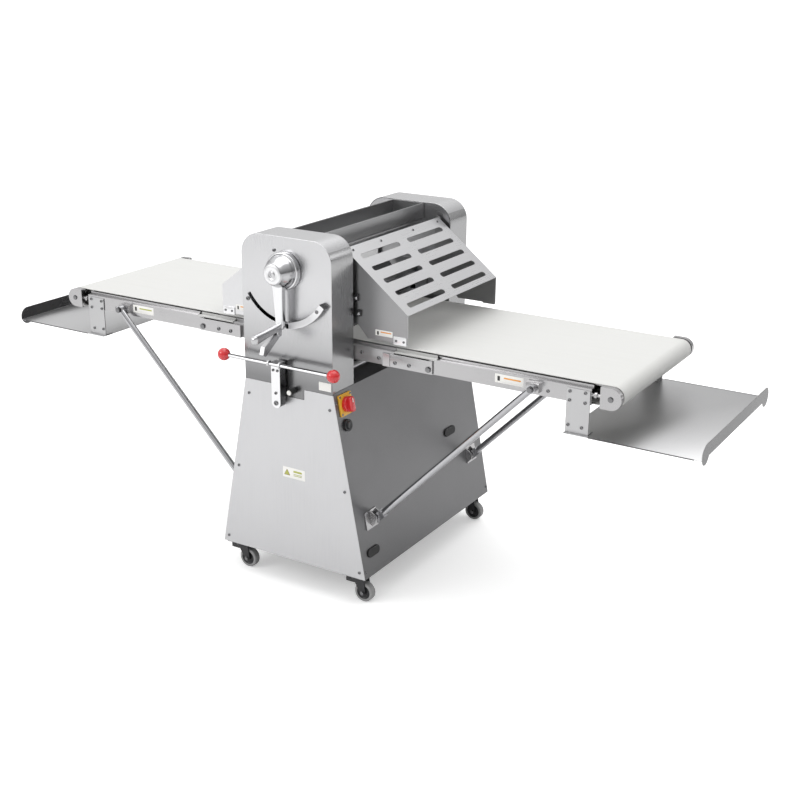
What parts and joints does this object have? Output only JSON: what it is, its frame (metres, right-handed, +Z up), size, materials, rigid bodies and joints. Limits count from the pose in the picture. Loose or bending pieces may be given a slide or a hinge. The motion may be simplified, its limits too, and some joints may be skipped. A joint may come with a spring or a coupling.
{
  "type": "dough sheeter",
  "caption": "Floor-standing reversible dough sheeter: a roll head on a tapered cabinet, folding belt tables, slotted guards, catch pans, a gap lever and a direction lever.",
  "frame": {"origin": "on the floor, under the middle of the roll head", "axes": "+X along the conveyors to the operator's right, -Y towards the operator, +Z up"},
  "size_m": [2.5094, 0.9995, 1.133],
  "materials": {
    "cabinet_sheet": "brushed stainless sheet",
    "head_sheet": "brushed stainless sheet",
    "frame_steel": "grey painted steel",
    "machined_steel": "turned steel",
    "chrome_roll": "hard chrome",
    "cast_lever": "polished cast aluminium",
    "rail_steel": "bright brushed stainless",
    "strut_chrome": "polished tube",
    "guard_sheet": "satin stainless",
    "belt_white": "white coated conveyor belt",
    "red_plastic": "glossy red",
    "yellow_plastic": "yellow",
    "black_plastic": "black",
    "black_rubber": "black rubber",
    "castor_steel": "dark castor housing",
    "castor_tyre": "dark grey tyre",
    "motor_paint": "blue-grey enamel",
    "label_print": "printed film",
    "box_plastic": "light grey moulded"
  },
  "bodies": {
    "cabinet": {"base_frame": "frame_steel", "front_panel": "cabinet_sheet", "rear_panel": "cabinet_sheet", "left_panel": "cabinet_sheet", "right_panel": "cabinet_sheet", "deck_plate": "cabinet_sheet", "front_housing": "head_sheet", "rear_housing": "head_sheet", "head_frame": "frame_steel", "motor": "motor_paint", "drive_belt": "black_rubber", "conveyor_chains": "machined_steel", "electrical_box": "box_plastic", "roll_bearings": "machined_steel", "lower_scrapers": "machined_steel", "gap_scale": "cast_lever", "fasteners": "machined_steel", "strut_brackets": "rail_steel", "rubber_fittings": "black_rubber", "control_bezels": "yellow_plastic", "bed_ends": "rail_steel", "hinge_plates": "rail_steel", "labels": "label_print", "right_belt": "belt_white", "left_belt": "belt_white"},
    "gap_lever": {"gap_lever": "cast_lever", "gap_grip": "cast_lever", "gap_shaft": "machined_steel"},
    "gap_trigger": {"gap_trigger": "cast_lever"},
    "roll_carriage": {"roll_carriage": "machined_steel"},
    "upper_roll": {"upper_roll": "chrome_roll"},
    "lower_roll": {"lower_roll": "chrome_roll"},
    "motor_rotor": {"motor_pulley": "machined_steel"},
    "flour_tray": {"flour_tray": "rail_steel"},
    "direction_lever": {"direction_lever": "cast_lever", "lever_balls": "red_plastic"},
    "main_switch": {"main_switch_knob": "red_plastic"},
    "start_button": {"start_button": "black_plastic"},
    "right_table": {"right_rails": "rail_steel", "right_bed": "rail_steel", "right_pan": "rail_steel"},
    "right_struts": {"right_struts": "strut_chrome"},
    "right_guard": {"right_guard": "guard_sheet"},
    "right_drive_roller": {"right_drive_roller": "machined_steel"},
    "right_end_roller": {"right_end_roller": "machined_steel"},
    "left_table": {"left_rails": "rail_steel", "left_bed": "rail_steel", "left_pan": "rail_steel"},
    "left_struts": {"left_struts": "strut_chrome"},
    "left_guard": {"left_guard": "guard_sheet"},
    "left_drive_roller": {"left_drive_roller": "machined_steel"},
    "left_end_roller": {"left_end_roller": "machined_steel"},
    "front_right_castor": {"front_right_castor_fork": "castor_steel"},
    "front_right_wheel": {"front_right_castor_wheel": "castor_tyre"},
    "front_left_castor": {"front_left_castor_fork": "castor_steel"},
    "front_left_wheel": {"front_left_castor_wheel": "castor_tyre"},
    "rear_right_castor": {"rear_right_castor_fork": "castor_steel"},
    "rear_right_wheel": {"rear_right_castor_wheel": "castor_tyre"},
    "rear_left_castor": {"rear_left_castor_fork": "castor_steel"},
    "rear_left_wheel": {"rear_left_castor_wheel": "castor_tyre"}
  },
  "joints": [
    {"name": "gap_lever_turn", "type": "hinge", "parent": "cabinet", "child": "gap_lever", "pos_m": [0, -0.43, 1.035], "axis": [0, 1, 0], "range_deg": [-55, 55]},
    {"name": "roll_lift", "type": "slide", "parent": "cabinet", "child": "roll_carriage", "axis": [0, 0, 1], "range_m": [-0.018, 0.018]},
    {"name": "lower_roll_spin", "type": "hinge", "parent": "cabinet", "child": "lower_roll", "pos_m": [0, 0, 0.772], "axis": [0, 1, 0], "continuous": true},
    {"name": "upper_roll_spin", "type": "hinge", "parent": "roll_carriage", "child": "upper_roll", "pos_m": [0, 0, 0.88], "axis": [0, 1, 0], "continuous": true},
    {"name": "right_drive_roller_spin", "type": "hinge", "parent": "cabinet", "child": "right_drive_roller", "pos_m": [0.082, 0, 0.785], "axis": [0, 1, 0], "continuous": true},
    {"name": "left_drive_roller_spin", "type": "hinge", "parent": "cabinet", "child": "left_drive_roller", "pos_m": [-0.082, 0, 0.785], "axis": [0, 1, 0], "continuous": true},
    {"name": "motor_spin", "type": "hinge", "parent": "cabinet", "child": "motor_rotor", "pos_m": [0, 0.3, 0.22], "axis": [0, 1, 0], "continuous": true},
    {"name": "right_table_fold", "type": "hinge", "parent": "cabinet", "child": "right_table", "pos_m": [0.421, 0, 0.771], "axis": [0, -1, 0], "range_deg": [0, 88], "deforming": ["right_belt"]},
    {"name": "right_strut_swing", "type": "hinge", "parent": "right_table", "child": "right_struts", "pos_m": [0.762, 0, 0.78], "axis": [0, -1, 0], "range_deg": [-45.5, 0]},
    {"name": "right_end_roller_spin", "type": "hinge", "parent": "right_table", "child": "right_end_roller", "pos_m": [0.9877, 0, 0.785], "axis": [0, 1, 0], "continuous": true},
    {"name": "right_guard_lift", "type": "hinge", "parent": "cabinet", "child": "right_guard", "pos_m": [0.118, 0, 1.083], "axis": [0, -1, 0], "range_deg": [0, 95]},
    {"name": "left_table_fold", "type": "hinge", "parent": "cabinet", "child": "left_table", "pos_m": [-0.421, 0, 0.771], "axis": [0, 1, 0], "range_deg": [0, 88], "deforming": ["left_belt"]},
    {"name": "left_strut_swing", "type": "hinge", "parent": "left_table", "child": "left_struts", "pos_m": [-0.762, 0, 0.78], "axis": [0, 1, 0], "range_deg": [-45.5, 0]},
    {"name": "left_end_roller_spin", "type": "hinge", "parent": "left_table", "child": "left_end_roller", "pos_m": [-0.9877, 0, 0.785], "axis": [0, 1, 0], "continuous": true},
    {"name": "left_guard_lift", "type": "hinge", "parent": "cabinet", "child": "left_guard", "pos_m": [-0.118, 0, 1.083], "axis": [0, 1, 0], "range_deg": [0, 95]},
    {"name": "flour_tray_lift", "type": "slide", "parent": "cabinet", "child": "flour_tray", "axis": [0, 0, 1], "range_m": [0, 0.12]},
    {"name": "direction_lever_tilt", "type": "hinge", "parent": "cabinet", "child": "direction_lever", "pos_m": [-0.021, -0.42, 0.628], "axis": [0, 1, 0], "range_deg": [-8, 8]},
    {"name": "main_switch_turn", "type": "hinge", "parent": "cabinet", "child": "main_switch", "pos_m": [0.17091, -0.353, 0.636], "axis": [0.9822, 0, 0.1877], "range_deg": [0, 90]},
    {"name": "start_button_press", "type": "slide", "parent": "cabinet", "child": "start_button", "axis": [-0.9822, 0, -0.1877], "range_m": [0, 0.004], "stiffness_N_per_m": 400},
    {"name": "gap_trigger_squeeze", "type": "hinge", "parent": "gap_lever", "child": "gap_trigger", "pos_m": [0, -0.458, 0.852], "axis": [-1, 0, 0], "range_deg": [0, 10], "stiffness_Nm_per_rad": 0.8},
    {"name": "front_right_castor_swivel", "type": "hinge", "parent": "cabinet", "child": "front_right_castor", "pos_m": [0.226, -0.36, 0.08], "axis": [0, 0, 1], "continuous": true},
    {"name": "front_right_wheel_roll", "type": "hinge", "parent": "front_right_castor", "child": "front_right_wheel", "pos_m": [0.246, -0.36, 0.032], "axis": [0, 1, 0], "continuous": true},
    {"name": "front_left_castor_swivel", "type": "hinge", "parent": "cabinet", "child": "front_left_castor", "pos_m": [-0.226, -0.36, 0.08], "axis": [0, 0, 1], "continuous": true},
    {"name": "front_left_wheel_roll", "type": "hinge", "parent": "front_left_castor", "child": "front_left_wheel", "pos_m": [-0.206, -0.36, 0.032], "axis": [0, 1, 0], "continuous": true},
    {"name": "rear_right_castor_swivel", "type": "hinge", "parent": "cabinet", "child": "rear_right_castor", "pos_m": [0.226, 0.36, 0.08], "axis": [0, 0, 1], "continuous": true},
    {"name": "rear_right_wheel_roll", "type": "hinge", "parent": "rear_right_castor", "child": "rear_right_wheel", "pos_m": [0.246, 0.36, 0.032], "axis": [0, 1, 0], "continuous": true},
    {"name": "rear_left_castor_swivel", "type": "hinge", "parent": "cabinet", "child": "rear_left_castor", "pos_m": [-0.226, 0.36, 0.08], "axis": [0, 0, 1], "continuous": true},
    {"name": "rear_left_wheel_roll", "type": "hinge", "parent": "rear_left_castor", "child": "rear_left_wheel", "pos_m": [-0.206, 0.36, 0.032], "axis": [0, 1, 0], "continuous": true}
  ],
  "couplings": [
    {"joint": "roll_lift", "follows": "gap_lever_turn", "m_per_rad": 0.01875},
    {"joint": "upper_roll_spin", "follows": "lower_roll_spin", "ratio": -1},
    {"joint": "right_drive_roller_spin", "follows": "lower_roll_spin", "ratio": 1},
    {"joint": "left_drive_roller_spin", "follows": "lower_roll_spin", "ratio": 1},
    {"joint": "motor_spin", "follows": "lower_roll_spin", "ratio": 2.0918},
    {"joint": "right_strut_swing", "follows": "right_table_fold", "ratio": -0.51},
    {"joint": "right_end_roller_spin", "follows": "lower_roll_spin", "ratio": 1},
    {"joint": "left_strut_swing", "follows": "left_table_fold", "ratio": -0.51},
    {"joint": "left_end_roller_spin", "follows": "lower_roll_spin", "ratio": 1}
  ]
}
